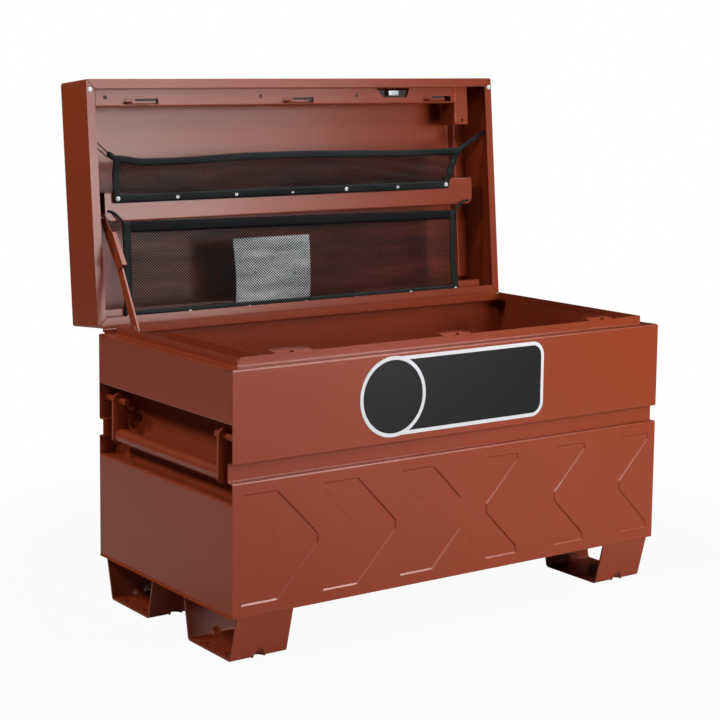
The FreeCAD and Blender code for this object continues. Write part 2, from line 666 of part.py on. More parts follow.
# ---- build --------------------------------------------------------------------------------
def chest_parts():
    left_foot = foot()
    return {
        "floor_pan": floor_pan(),
        "front_wall": press_chevrons(end_wall(-1)),
        "rear_wall": end_wall(1),
        "side_lower_left": side_lower(),
        "side_lower_right": mirror_x(side_lower()),
        "side_upper_left": side_upper(),
        "side_upper_right": mirror_x(side_upper()),
        "inner_rail_left": inner_rail(),
        "inner_rail_right": mirror_x(inner_rail()),
        "foot_front_left": left_foot,
        "foot_front_right": mirror_x(left_foot),
        "foot_rear_left": mirror_y(left_foot),
        "foot_rear_right": mirror_y(mirror_x(left_foot)),
        "hinge_body_leaf": hinge_body_leaf(),
        "hinge_pin": hinge_pin(),
        "latch_keepers": latch_keepers(),
        "stay_bracket": stay_bracket(),
    }


def handle_parts():
    parts = {}
    for name, place in (("left", lambda s: s), ("right", mirror_x)):
        parts["handle_pins_" + name] = place(handle_pins())
        parts["handle_brackets_" + name] = place(group([handle_bracket(-1), handle_bracket(1)]))
        parts["handle_arm_front_" + name] = place(handle_arm(-1))
        parts["handle_arm_rear_" + name] = place(handle_arm(1))
        parts["handle_grip_" + name] = place(handle_grip())
    return parts


def lid_parts():
    shapes = {
        "lid_shell": lid_shell(),
        "latch_channel": latch_channel(),
        "bar_guides": bar_guides(),
        "lock_housing": lock_housing(),
        "mid_stiffener": mid_stiffener(),
        "end_stiffener_left": mirror_x(end_stiffener()),
        "end_stiffener_right": end_stiffener(),
        "hinge_rail": hinge_rail(),
        "hinge_lid_leaf": hinge_lid_leaf(),
        "upper_net": net(-452, 446, 252, 346),
        "lower_net": net(-462, 432, 24, 219),
        "stay_lid_bracket": stay_lid_bracket(),
        "latch_bar": latch_bar(),
        "latch_hooks": latch_hooks(),
        "latch_lug": latch_lug(),
    }
    return {name: on_lid(shape) for name, shape in shapes.items()}


def stay_parts():
    return {
        "stay_lower_arm": stay_lower_arm(),
        "stay_elbow_pin": stay_elbow_pin(),
        "stay_channel": stay_channel(),
    }


os.makedirs("parts", exist_ok=True)
for make in (chest_parts, handle_parts, lid_parts, stay_parts):
    for name, shape in make().items():
        shape.exportStep("parts/" + name + ".step")
        if not shape.isValid() or not shape.Solids:
            print("check", name, "valid", shape.isValid(), "solids", len(shape.Solids))
        elif len(shape.Solids) > 1:
            print(name, len(shape.Solids), "solids")
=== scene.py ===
import json
import math

import bmesh
import bpy
from mathutils import Matrix, Vector


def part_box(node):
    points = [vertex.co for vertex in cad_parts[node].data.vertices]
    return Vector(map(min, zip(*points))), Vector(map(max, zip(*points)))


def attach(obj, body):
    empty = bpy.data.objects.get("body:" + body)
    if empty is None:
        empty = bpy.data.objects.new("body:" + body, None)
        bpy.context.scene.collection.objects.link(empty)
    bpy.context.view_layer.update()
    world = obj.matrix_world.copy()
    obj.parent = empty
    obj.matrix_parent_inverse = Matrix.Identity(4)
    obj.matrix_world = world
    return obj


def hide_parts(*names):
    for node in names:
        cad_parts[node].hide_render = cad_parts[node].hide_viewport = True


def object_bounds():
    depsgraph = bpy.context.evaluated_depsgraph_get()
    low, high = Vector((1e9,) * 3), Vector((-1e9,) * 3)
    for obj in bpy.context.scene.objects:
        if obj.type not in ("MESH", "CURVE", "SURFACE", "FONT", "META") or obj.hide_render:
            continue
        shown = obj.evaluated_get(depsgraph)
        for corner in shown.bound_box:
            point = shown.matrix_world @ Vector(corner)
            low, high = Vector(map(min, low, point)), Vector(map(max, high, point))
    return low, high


# Looks of the steel site chest: powder coat, mesh nets in the lid, snaps, elastics and the front plate.
# Metres and watts, in the same frame as the solids: X right, Y back, Z up.
# Points in the lid are (x, s, w): s up the lid from its hinge edge, w out of its open face.

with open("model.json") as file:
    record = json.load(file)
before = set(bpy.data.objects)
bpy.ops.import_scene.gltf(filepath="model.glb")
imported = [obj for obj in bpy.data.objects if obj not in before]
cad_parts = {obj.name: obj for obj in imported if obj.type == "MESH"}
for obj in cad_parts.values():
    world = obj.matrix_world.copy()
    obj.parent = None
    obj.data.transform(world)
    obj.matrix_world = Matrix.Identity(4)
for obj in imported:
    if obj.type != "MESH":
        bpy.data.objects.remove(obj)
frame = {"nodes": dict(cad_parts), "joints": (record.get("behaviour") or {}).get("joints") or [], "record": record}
cad_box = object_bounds()
nodes = frame["nodes"]
joints = {joint["name"]: joint for joint in frame["joints"]}

LID_TILT = math.radians(joints["lid_hinge"]["range_deg"][1] - 90)
LID_ORIGIN = Vector((0, 0.257, 0.561))
CHANNEL_W = -0.026                # face of the latch channel
FRONT_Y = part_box("front_wall")[0].y

# Camera: a square picture, with its axis off the middle. Angles are in radians.
PHOTO = 720                       # side of the picture, pixels
SENSOR = 36.0                     # side of the sensor, millimetres
CAMERA_PLACE = Vector((-2.1839, -2.8554, 1.0958))
CAMERA_YAW, CAMERA_PITCH, CAMERA_ROLL = -0.581, 0.124, 0.004
FOCAL_PIXELS = 1747.7
AXIS_PIXEL = (260.3, 281.5)       # where the camera's axis meets the picture

# Lamps: name, place, height aimed at, size and power
LAMPS = (
    ("key", (0.7, -1.9, 1.3), 0.5, (0.6, 0.6), 10.7),
    ("key_right", (1.7, -2.3, 1.3), 0.8, (0.6, 0.6), 8.0),
    ("key_low", (0.9, -2.3, 0.8), 0.5, (1.0, 0.8), 30),
    ("left", (-3.0, -0.4, 2.75), 0.5, (0.5, 0.5), 29),
    ("left_back", (-2.6, 1.9, 2.9), 0.5, (0.6, 0.6), 54),
    ("high", (-0.8, -1.9, 2.4), 0.5, (0.5, 0.5), 18))
GLOSS_LAMPS = (                   # seen in sheen and on bends, and they add no other light
    ("gloss_panel", (0.1, -1.2, 3.0), 0.5, (5.0, 2.5), 110),
    ("gloss_strip", (1.6, -1.1, 2.9), 0.5, (1.6, 1.0), 75))

# Backdrop and floor
SKY_GLOSS = 0.01                  # how much of the white backdrop shows in gloss
FLOOR_GLOSS = 0.35                # the same for the floor beside the box
FLOOR_HALF = 6.0                  # half of the floor's side
FLOOR_DROP = 0.0005               # gap between the feet and the floor
FLOOR_GREY = (0.5, 0.5, 0.5)
FLOOR_WHITE = (0.95, 1.0)         # share of plain white at the feet and far off
WHITE_FADE = (0.7, 1.6)           # distances from the centre between which it changes
GLOSS_FADE = (1.2, 3.0)           # the same for its share in gloss
UNDER_BOX_SHADE_FADE = (1.1, 1.9)           # where that share sets in, in half sizes of the box; inside, it is cleared as painted shade under the box

# Colours
RED_BROWN = (0.266, 0.042, 0.013)
TAPE_BLACKS = ((0.006, 0.008, 0.008), (0.013, 0.016, 0.016))
THREAD_BLACK = (0.007, 0.007, 0.008)
ZINC = (0.62, 0.65, 0.70)
DULL_STEEL = (0.20, 0.17, 0.16)
# painted shade: the latch bar is near black so that it looks as shaded as the slots it is seen through
BAR_PAINTED_SHADE = (0.05, 0.04, 0.04)
ENAMELS = ((0.72, 0.72, 0.71), (0.82, 0.82, 0.81))
# painted shade: near black in the snaps' sockets and over the guide screws' heads
RECESS_SHADE_BLACK = (0.012, 0.010, 0.010)
PLATE_BLACK = (0.008, 0.008, 0.009)
PLATE_WHITE = (0.68, 0.68, 0.71)
CARD_WHITE = (0.90, 0.95, 1.0)

# Weave of the nets
WAVE_BAND = 0.314                 # spacing of a wave texture's bands at scale 1
WEAVE_LEAN = 49                   # degrees that the two rows of holes lean either way
FOLD_LEAN = 24                    # degrees that the folds lean
FOLD_SCALE = (5, 32, 1)           # how fine the folds are along and across
FOLD_SHADE_SWING = 0.35                 # most that a fold adds to the threads' cover, or takes from it: bunched cloth with painted shade and light

# Nets. A fold is its height, its radians across and up the net, and its start.
NET_W = -0.028                    # plane of the nets' back, in front of the stiffeners
NET_OFF = 0.0012                  # gap between that plane and the cloth
NET_GRID = (150, 24)              # cells across and up
UPPER_LEFT, UPPER_FOOT = -0.470, 0.252
UPPER_RIGHT = (0.413, 0.454)      # right edge at the foot and at the top
UPPER_TOP = ((-0.465, 0.350), (-0.395, 0.342), (-0.320, 0.342), (-0.130, 0.348), (0.0, 0.3485),
             (0.118, 0.3465), (0.268, 0.3435), (0.386, 0.344), (0.455, 0.347))
UPPER_SAG = 0.010                 # how far the cloth bellies out
UPPER_FOLDS = ((0.0016, 34, 5, 0), (0.0020, 17, -7, 1.0))
UPPER_PULL = ((0.0022, 31.2, 23.4, 0),)     # extra fold towards the right end
UPPER_LEAN = 0.010                # how far the top hem stands out beyond the foot
LOWER_LEFT, LOWER_RIGHT, LOWER_FOOT = -0.457, 0.434, 0.009
LOWER_TOP = (0.213, 0.201)        # top edge at the left and at the right
LOWER_TAPER = 0.003               # how far each side leans in at the top
LOWER_WAIST = 0.006               # how far the right side is drawn in halfway up
LOWER_SAG = 0.009
LOWER_FOLDS = ((0.0012, 23, 3.5, 0), (0.0009, 51, -6, 0))
LOWER_LEAN = 0.004

# Hems: label, ranges across and up the net, and cells across and up
UPPER_HEMS = (
    ("top_hem", (0, 1), (0.84, 1.0), (150, 3)),
    ("foot_hem", (0, 1), (0.0, 0.19), (150, 3)),
    ("left_hem", (0, 0.018), (0.0, 1.0), (3, 30)),
    ("right_hem", (0.980, 1), (0.0, 1.0), (3, 30)))
LOWER_HEMS = (
    ("top_hem", (0, 1), (0.89, 1.0), (150, 3)),
    ("foot_hem", (0, 1), (0.0, 0.09), (150, 3)),
    ("left_hem", (0, 0.020), (0.0, 1.0), (3, 40)),
    ("right_hem", (0.980, 1), (0.0, 1.0), (3, 40)))
HEM_PROUD, HEM_THICK = 0.0008, 0.0022

# Snaps, elastics and knots; profiles are (radius, height)
SNAP_ROWS = (                     # row, height up the lid and places along it
    ("upper", 0.2610, (-0.460, -0.318, -0.172, -0.026, 0.120, 0.264, 0.407)),
    ("lower", 0.0165, (-0.447, -0.300, -0.151, -0.003, 0.135, 0.290, 0.424)))
SNAP_W = NET_W + 0.0032
SNAP_CAP = ((0.0013, 0.0026), (0.0022, 0.0029), (0.0038, 0.0024), (0.0049, 0.0013), (0.0053, 0.0004),
            (0.0053, 0))
SNAP_SOCKET = ((0, 0.0024), (0.0014, 0.0024), (0.0014, 0.0014))
LEFT_SLACK, RIGHT_SLACK = Vector((0, -0.001, -0.001)), Vector((0, 0, -0.002))
UPPER_CORDS = (                   # name, radius, both ends, and how far the middle hangs off their line
    ("cord_upper_left_0", 0.0013, (-0.478, 0.353, -0.020), (-0.529, 0.405, -0.030), LEFT_SLACK),
    ("cord_upper_left_1", 0.0013, (-0.480, 0.3455, -0.020), (-0.529, 0.390, -0.030), LEFT_SLACK),
    ("cord_upper_right_0", 0.0022, (0.450, 0.349, -0.019), (0.529, 0.384, -0.026), RIGHT_SLACK),
    ("cord_upper_right_1", 0.0022, (0.450, 0.343, -0.019), (0.529, 0.378, -0.026), RIGHT_SLACK))
LOWER_CORDS = (                   # name, radius and route, tied at both ends
    ("cord_lower_right", 0.0026, (
        (0.428, 0.200, -0.021), (0.438, 0.210, -0.022), (0.452, 0.219, -0.024),
        (0.468, 0.222, -0.025), (0.475, 0.2222, -0.030), (0.475, 0.222, -0.045))),
    ("cord_lower_left", 0.0024, (
        (-0.450, 0.210, -0.021), (-0.460, 0.222, -0.023), (-0.472, 0.2345, -0.025),
        (-0.479, 0.236, -0.031), (-0.479, 0.236, -0.045))))
KNOTS = (("knot_left", -0.472, 0.3485, 50), ("knot_right", 0.452, 0.345, -62))
KNOT_W = -0.0205
KNOT = ((0, 0.013), (0.003, 0.012), (0.0052, 0.008), (0.0060, 0.002), (0.0055, -0.004),
        (0.0062, -0.009), (0.004, -0.013), (0, -0.014))

# Front plate and card
PLATE_X = (-0.2505, 0.2105)
PLATE_Z = (0.3905, 0.5435)
PLATE_ROUND = 0.0785              # radius of the plate's left end
PLATE_CORNER = 0.030
PLATE_EDGE = 0.0074               # width of the white edge and of the ring
EDGE_THICK, FIELD_THICK, PLATE_BEVEL = 0.0009, 0.0011, 0.0002
RING_HEIGHTS = (0.0010, 0.0013)
ROUND_STEPS, CORNER_STEPS = 60, 12
CARD_X, CARD_S = (-0.1855, 0.008), (0.021, 0.1645)
CARD_LEAN = 0.003                 # how far the card's top left corner is out of square
CARD_BEHIND, CARD_THICK = 0.0012, 0.0005

# Small fittings
SCREW_X, SCREW_S = (-0.478, -0.097, 0.161), 0.469
SCREW = ((0, -0.0012), (0.0014, -0.0012), (0.0014, 0.0010), (0.0030, 0.0011), (0.0040, 0.0004), (0.0041, 0))
BUFFERS, BUFFER_S = (("buffer_left", -0.5255), ("buffer_right", 0.5265)), 0.484
BUFFER = ((0, 0.0026), (0.0030, 0.0025), (0.0045, 0.0018), (0.0054, 0.0006), (0.0054, 0))
WELDS, WELD_X = (("weld_channel", 0.452, 0.500), ("weld_housing", 0.409, 0.425)), 0.4425
BEAD_PITCH = 0.0034
BEAD = (0.0030, 0.0023, 0.0026)   # half sizes of a bead across, along and out of the seam
BEAD_UNEVEN = (                   # most change, radians from bead to bead, and start
    (0.0010, 2.3, 0),             # of the place across the seam
    (0.0007, 5.1, 0),             # of the width
    (0.0010, 3.7, 1))             # of the height


# ---- places -------------------------------------------------------------------------------
def in_lid(x, s, w):
    """World place of a point given in the lid's frame."""
    along = Vector((0, math.sin(LID_TILT), math.cos(LID_TILT)))
    out = Vector((0, -math.cos(LID_TILT), math.sin(LID_TILT)))
    return LID_ORIGIN + Vector((x, 0, 0)) + along * s + out * w


def lid_matrix(x, s, w):
    """Placement whose Z axis points out of the lid and whose Y axis runs up it."""
    turn = Matrix.Rotation(math.pi / 2 - LID_TILT, 4, "X")
    return Matrix.Translation(in_lid(x, s, w)) @ turn


def between(ends, share):
    """Number at a share of the way from one end to the other."""
    return ends[0] + (ends[1] - ends[0]) * share


def ease(value, low, high):
    """Smooth step from 0 to 1 while a value goes from low to high."""
    share = max(0.0, min(1.0, (value - low) / (high - low)))
    return share * share * (3 - 2 * share)


def swell(share, fullness=1.0):
    """Curve that is 0 at both ends and 1 in the middle; the lower its fullness, the broader it is."""
    return math.sin(math.pi * share) ** fullness


# ---- shader nodes -------------------------------------------------------------------------
def new_material(name):
    """Empty material with a shader joined to its output."""
    material = bpy.data.materials.new(name)
    material.use_nodes = True
    tree = material.node_tree
    tree.nodes.clear()
    out = tree.nodes.new("ShaderNodeOutputMaterial")
    out.name = "out"
    shader = tree.nodes.new("ShaderNodeBsdfPrincipled")
    tree.links.new(shader.outputs[0], out.inputs["Surface"])
    return material, tree, shader


def set_values(node, values):
    """Sets a node's sockets by their labels."""
    for label, value in values.items():
        node.inputs[label].default_value = value


def maths(tree, operation, first, second, clamp=False):
    """Math node of two values, each a socket or a number."""
    node = tree.nodes.new("ShaderNodeMath")
    node.operation, node.use_clamp = operation, clamp
    for socket, value in zip(node.inputs, (first, second)):
        if isinstance(value, (int, float)):
            socket.default_value = value
        else:
            tree.links.new(value, socket)
    return node.outputs[0]


def spread(tree, value, ends, reach=(0, 1), smooth=False):
    """Number that goes from one end to the other while a value goes over its reach."""
    node = tree.nodes.new("ShaderNodeMapRange")
    node.interpolation_type = "SMOOTHSTEP" if smooth else "LINEAR"
    set_values(node, {"From Min": reach[0], "From Max": reach[1], "To Min": ends[0], "To Max": ends[1]})
    tree.links.new(value, node.inputs["Value"])
    return node.outputs["Result"]


def ramp(tree, value, reach, colours):
    """Two colours blended while a value goes over its reach."""
    node = tree.nodes.new("ShaderNodeValToRGB")
    for stop, position, colour in zip(node.color_ramp.elements, reach, colours):
        stop.position, stop.color = position, (*colour, 1)
    tree.links.new(value, node.inputs[0])
    return node.outputs["Color"]


def noise_texture(tree, scale, detail=2.0, roughness=0.5):
    """Noise over the piece's own coordinates."""
    place = tree.nodes.get("place") or tree.nodes.new("ShaderNodeTexCoord")
    place.name = "place"
    texture = tree.nodes.new("ShaderNodeTexNoise")
    set_values(texture, {"Scale": scale, "Detail": detail, "Roughness": roughness})
    tree.links.new(place.outputs["Object"], texture.inputs["Vector"])
    return texture.outputs["Fac"]


def bump(tree, shader, height, strength, distance):
    """Small relief of a texture on the shader's surface."""
    node = tree.nodes.new("ShaderNodeBump")
    set_values(node, {"Strength": strength, "Distance": distance})
    tree.links.new(height, node.inputs["Height"])
    tree.links.new(node.outputs[0], shader.inputs["Normal"])


def seen_share(tree, gloss_share, share=None):
    """Share of plain white for rays from the camera, off gloss and through glass, times a share."""
    path = tree.nodes.new("ShaderNodeLightPath")
    gloss = maths(tree, "MULTIPLY", path.outputs["Is Glossy Ray"], gloss_share)
    total = maths(tree, "ADD", path.outputs["Is Camera Ray"], gloss, clamp=True)
    total = maths(tree, "ADD", total, path.outputs["Is Transmission Ray"], clamp=True)
    return maths(tree, "MULTIPLY", total, share) if share else total


def from_centre(tree, scale):
    """Distance from the floor's centre, with each axis scaled."""
    place, scaled = tree.nodes.new("ShaderNodeTexCoord"), tree.nodes.new("ShaderNodeVectorMath")
    scaled.operation = "MULTIPLY"
    scaled.inputs[1].default_value = scale
    length = tree.nodes.new("ShaderNodeVectorMath")
    length.operation = "LENGTH"
    tree.links.new(place.outputs["Object"], scaled.inputs[0])
    tree.links.new(scaled.outputs["Vector"], length.inputs[0])
    return length.outputs["Value"]


# ---- camera, lamps, backdrop, floor -------------------------------------------------------
def make_camera():
    """Camera from its place, direction, focal length and the pixel that its axis meets."""
    ahead = Vector((-math.sin(CAMERA_YAW) * math.cos(CAMERA_PITCH),
                    math.cos(CAMERA_YAW) * math.cos(CAMERA_PITCH), -math.sin(CAMERA_PITCH)))
    level = Vector((math.cos(CAMERA_YAW), math.sin(CAMERA_YAW), 0))
    above = level.cross(ahead)
    right = level * math.cos(CAMERA_ROLL) + above * math.sin(CAMERA_ROLL)
    up = above * math.cos(CAMERA_ROLL) - level * math.sin(CAMERA_ROLL)
    data = bpy.data.cameras.new("camera")
    data.sensor_width = data.sensor_height = SENSOR
    data.sensor_fit = "HORIZONTAL"
    data.lens = FOCAL_PIXELS * SENSOR / PHOTO
    data.shift_x = (PHOTO / 2 - AXIS_PIXEL[0]) / PHOTO
    data.shift_y = (AXIS_PIXEL[1] - PHOTO / 2) / PHOTO
    camera = bpy.data.objects.new("camera", data)
    turn = Matrix((right, up, -ahead)).transposed().to_4x4()
    camera.matrix_world = Matrix.Translation(CAMERA_PLACE) @ turn
    bpy.context.scene.collection.objects.link(camera)
    bpy.context.scene.camera = camera


def area_light(name, place, aim_height, size, power, gloss_only):
    """Rectangular lamp aimed at a height over the centre; a gloss-only one adds no diffuse light."""
    data = bpy.data.lights.new(name, "AREA")
    data.shape, data.size, data.size_y = "RECTANGLE", size[0], size[1]
    data.energy = power
    light = bpy.data.objects.new(name, data)
    light.location = place
    light.visible_diffuse = not gloss_only
    towards = Vector((0, 0, aim_height)) - Vector(place)
    light.rotation_euler = towards.to_track_quat("-Z", "Y").to_euler()
    bpy.context.scene.collection.objects.link(light)


def make_lamps():
    """All lamps, the plain ones first."""
    for lamps, gloss_only in ((LAMPS, False), (GLOSS_LAMPS, True)):
        for lamp in lamps:
            area_light(*lamp, gloss_only)


def make_world():
    """Backdrop that gives no light: camera and glass see plain white, and gloss a little of it."""
    world = bpy.data.worlds.new("studio")
    bpy.context.scene.world = world
    world.use_nodes = True
    tree = world.node_tree
    tree.nodes.clear()
    white, out = tree.nodes.new("ShaderNodeBackground"), tree.nodes.new("ShaderNodeOutputWorld")
    white.inputs["Color"].default_value = (1, 1, 1, 1)
    tree.links.new(seen_share(tree, SKY_GLOSS), white.inputs["Strength"])
    tree.links.new(white.outputs[0], out.inputs["Surface"])


def make_floor():
    """Pale floor that keeps a faint shadow round the feet and fades to the backdrop's white; under the box its
    white in gloss is cleared, painted shade.
    """
    mesh = bpy.data.meshes.new("floor")
    corners = [(FLOOR_HALF * x, FLOOR_HALF * y, 0) for x, y in ((-1, -1), (1, -1), (1, 1), (-1, 1))]
    mesh.from_pydata(corners, [], [(0, 1, 2, 3)])
    floor = bpy.data.objects.new("floor", mesh)
    floor.location.z = -FLOOR_DROP
    bpy.context.scene.collection.objects.link(floor)
    material, tree, shader = new_material("floor_paper")
    set_values(shader, {"Base Color": (*FLOOR_GREY, 1), "Roughness": 0.9, "Specular IOR Level": 0.0})
    glow, mix = tree.nodes.new("ShaderNodeEmission"), tree.nodes.new("ShaderNodeMixShader")
    distance = from_centre(tree, (1, 1, 0))
    in_boxes = from_centre(tree, (1 / cad_box[1][0], 1 / FRONT_Y, 0))
    # painted shade: no white in gloss on the floor under the box
    clear = spread(tree, in_boxes, (0, 1), UNDER_BOX_SHADE_FADE, smooth=True)
    shine = spread(tree, distance, (FLOOR_GLOSS, SKY_GLOSS), GLOSS_FADE, smooth=True)
    white = spread(tree, distance, FLOOR_WHITE, WHITE_FADE, smooth=True)
    tree.links.new(seen_share(tree, maths(tree, "MULTIPLY", shine, clear), white), mix.inputs[0])
    tree.links.new(shader.outputs[0], mix.inputs[1])
    tree.links.new(glow.outputs[0], mix.inputs[2])
    tree.links.new(mix.outputs[0], tree.nodes["out"].inputs["Surface"])
    mesh.materials.append(material)


# ---- materials ----------------------------------------------------------------------------
def powder_coat(name="powder_coat", shade=1.0):
    """Baked red-brown coat: glossy, with the fine orange-peel of sprayed powder. A shade above 1 gives a lighter
    copy, a painted highlight.
    """
    material, tree, shader = new_material(name)
    tints = [tuple(c * k * shade for c in RED_BROWN) for k in (0.97, 1.03)]
    drift = noise_texture(tree, scale=3.0, detail=3.0)
    tree.links.new(ramp(tree, drift, (0.3, 0.7), tints), shader.inputs["Base Color"])
    haze = spread(tree, noise_texture(tree, scale=90.0), (0.28, 0.33))
    tree.links.new(haze, shader.inputs["Roughness"])
    set_values(shader, {"Specular IOR Level": 0.25, "Coat Weight": 0.12, "Coat Roughness": 0.15})
    peel = noise_texture(tree, scale=900.0, roughness=0.6)
    bump(tree, shader, peel, strength=0.25, distance=0.0002)
    return material


def black_web():
    """Woven polyester tape of the hems, with fine ribs."""
    material, tree, shader = new_material("black_web")
    fleck = noise_texture(tree, scale=700.0)
    tree.links.new(ramp(tree, fleck, (0.3, 0.7), TAPE_BLACKS), shader.inputs["Base Color"])
    set_values(shader, {"Roughness": 0.7, "Specular IOR Level": 0.12})
    wave = tree.nodes.new("ShaderNodeTexWave")
    wave.bands_direction = "DIAGONAL"
    set_values(wave, {"Scale": 320.0, "Distortion": 0.6})
    tree.links.new(tree.nodes["place"].outputs["Object"], wave.inputs["Vector"])
    bump(tree, shader, wave.outputs["Fac"], strength=0.5, distance=0.0004)
    return material


def net_mesh(name, pitch, cover):
    """Knitted net: small holes, offset from row to row, a little closer together in leaning bands for its folds:
    bunched cloth and painted shade.
    """
    material, tree, shader = new_material(name)
    set_values(shader, {"Base Color": (*THREAD_BLACK, 1), "Roughness": 0.6, "Specular IOR Level": 0.04})
    place = tree.nodes.new("ShaderNodeUVMap")
    place.uv_map = "cloth"
    waves = []
    for angle in (WEAVE_LEAN, -WEAVE_LEAN):
        turn, wave = tree.nodes.new("ShaderNodeVectorRotate"), tree.nodes.new("ShaderNodeTexWave")
        turn.rotation_type = "Z_AXIS"
        turn.inputs["Angle"].default_value = math.radians(angle)
        wave.inputs["Scale"].default_value = WAVE_BAND / pitch
        tree.links.new(place.outputs[0], turn.inputs["Vector"])
        tree.links.new(turn.outputs[0], wave.inputs["Vector"])
        waves.append(wave.outputs["Fac"])
    stretch, folds = tree.nodes.new("ShaderNodeMapping"), tree.nodes.new("ShaderNodeTexNoise")
    set_values(stretch, {"Rotation": (0, 0, math.radians(FOLD_LEAN)), "Scale": FOLD_SCALE})
    folds.inputs["Scale"].default_value = 1.0
    tree.links.new(place.outputs[0], stretch.inputs["Vector"])
    tree.links.new(stretch.outputs[0], folds.inputs["Vector"])
    # the fold bands' denser threads stand for bunched cloth and paint the folds' shade
    density = spread(tree, folds.outputs["Fac"], (cover - FOLD_SHADE_SWING, cover + FOLD_SHADE_SWING))
    holes = maths(tree, "LESS_THAN", maths(tree, "MULTIPLY", *waves), density)
    tree.links.new(holes, shader.inputs["Alpha"])
    return material


def metal(name, colour, roughness):
    """Bare or plated steel, with a slight stain and a varied gloss."""
    material, tree, shader = new_material(name)
    shader.inputs["Metallic"].default_value = 1.0
    stain = noise_texture(tree, scale=60.0, detail=4.0)
    tints = (tuple(c * 0.88 for c in colour), colour)
    tree.links.new(ramp(tree, stain, (0.35, 0.65), tints), shader.inputs["Base Color"])
    wear = spread(tree, noise_texture(tree, scale=200.0, detail=3.0), (roughness, roughness + 0.06))
    tree.links.new(wear, shader.inputs["Roughness"])
    bump(tree, shader, noise_texture(tree, scale=500.0), strength=0.1, distance=0.0001)
    return material


def enamel(name):
    """Enamelled white of the snap caps and the buffers."""
    material, tree, shader = new_material(name)
    fleck = noise_texture(tree, scale=300.0)
    tree.links.new(ramp(tree, fleck, (0.3, 0.7), ENAMELS), shader.inputs["Base Color"])
    set_values(shader, {"Roughness": 0.25, "Coat Weight": 0.4})
    return material


def flat_colour(name, colour, roughness, specular=0.5):
    """Flat ink, film, paper or painted shade of one colour, with a slight pull in its gloss."""
    material, tree, shader = new_material(name)
    shader.inputs["Specular IOR Level"].default_value = specular
    tints = (tuple(c * 0.94 for c in colour), colour)
    tree.links.new(ramp(tree, noise_texture(tree, scale=25.0), (0.3, 0.7), tints),
                   shader.inputs["Base Color"])
    pull = spread(tree, noise_texture(tree, scale=140.0), (roughness, roughness + 0.08))
    tree.links.new(pull, shader.inputs["Roughness"])
    return material


# ---- mesh helpers -------------------------------------------------------------------------
def new_object(name, mesh, material, body, smooth=True):
    """Piece of a mesh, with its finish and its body."""
    for polygon in mesh.polygons:
        polygon.use_smooth = smooth
    mesh.materials.append(material)
    piece = bpy.data.objects.new(name, mesh)
    bpy.context.scene.collection.objects.link(piece)
    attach(piece, body)
    return piece


def cloth_grid(name, columns, rows, place):
    """Grid mesh of place(u, v), with a map of its flat size in metres for the weave."""
    across = columns + 1
    verts = [place(i / columns, j / rows) for j in range(rows + 1) for i in range(across)]
    corners = [j * across + i for j in range(rows) for i in range(columns)]
    mesh = bpy.data.meshes.new(name)
    mesh.from_pydata(verts, [], [(k, k + 1, k + across + 1, k + across) for k in corners])
    width = sum((verts[i + 1] - verts[i]).length for i in range(columns))
    height = sum((verts[(j + 1) * across] - verts[j * across]).length for j in range(rows))
    layer = mesh.uv_layers.new(name="cloth")
    for loop in mesh.loops:
        j, i = divmod(loop.vertex_index, across)
        layer.data[loop.index].uv = (width * i / columns, height * j / rows)
    return mesh


def thicken(piece, amount):
    """Gives a sheet real thickness, half on each side."""
    solid = piece.modifiers.new("thickness", "SOLIDIFY")
    solid.thickness, solid.offset = amount, 0


def turned(name, profile, steps=32):
    """Mesh turned about Z from (radius, height) points."""
    mesh, shape = bpy.data.meshes.new(name), bmesh.new()
    rings = []
    for radius, height in profile:
        if radius == 0:
            rings.append([shape.verts.new((0, 0, height))])
            continue
        rings.append([shape.verts.new((radius * math.cos(a), radius * math.sin(a), height))
                      for a in (2 * math.pi * k / steps for k in range(steps))])
    for low, high in zip(rings, rings[1:]):
        for k in range(steps):
            corners = [ring[j % len(ring)] for ring, j in ((low, k), (low, k + 1), (high, k + 1), (high, k))]
            corners = list(dict.fromkeys(corners))
            if len(corners) > 2:
                shape.faces.new(corners)
    bmesh.ops.recalc_face_normals(shape, faces=shape.faces)
    shape.to_mesh(mesh)
    shape.free()
    return mesh


def arc(centre, radius, start, end, steps):
    """Points of an arc between two angles in degrees."""
    angles = [math.radians(between((start, end), k / steps)) for k in range(steps + 1)]
    return [(centre[0] + radius * math.cos(a), centre[1] + radius * math.sin(a)) for a in angles]


def plate_outline(inset):
    """Outline in X and Z of the front plate: a round left end and a right end with round corners."""
    radius, corner = PLATE_ROUND - inset, PLATE_CORNER - inset
    low, high = PLATE_Z[0] + inset, PLATE_Z[1] - inset
    meet = math.degrees(math.asin((high - low) / 2 / radius))
    corner_x = PLATE_X[1] - inset - corner
    return (arc((PLATE_X[0] + PLATE_ROUND, sum(PLATE_Z) / 2), radius, meet, 360 - meet, ROUND_STEPS)
            + arc((corner_x, low + corner), corner, -90, 0, CORNER_STEPS)
            + arc((corner_x, high - corner), corner, 0, 90, CORNER_STEPS))


def flat_plate(name, outline, thickness, bevel):
    """Thin plate of an outline in X and Z, facing -Y, its back at y = 0, with its front edge rounded."""
    mesh, shape = bpy.data.meshes.new(name), bmesh.new()
    face = shape.faces.new([shape.verts.new((x, 0, z)) for x, z in outline])
    grown = bmesh.ops.extrude_face_region(shape, geom=[face])
    moved = [part for part in grown["geom"] if isinstance(part, bmesh.types.BMVert)]
    bmesh.ops.translate(shape, verts=moved, vec=(0, -thickness, 0))
    bmesh.ops.recalc_face_normals(shape, faces=shape.faces)
    rim = [e for e in shape.edges if all(v.co.y < -thickness / 2 for v in e.verts)]
    bmesh.ops.bevel(shape, geom=rim, offset=bevel, segments=2, affect="EDGES", clamp_overlap=True)
    shape.to_mesh(mesh)
    shape.free()
    return mesh


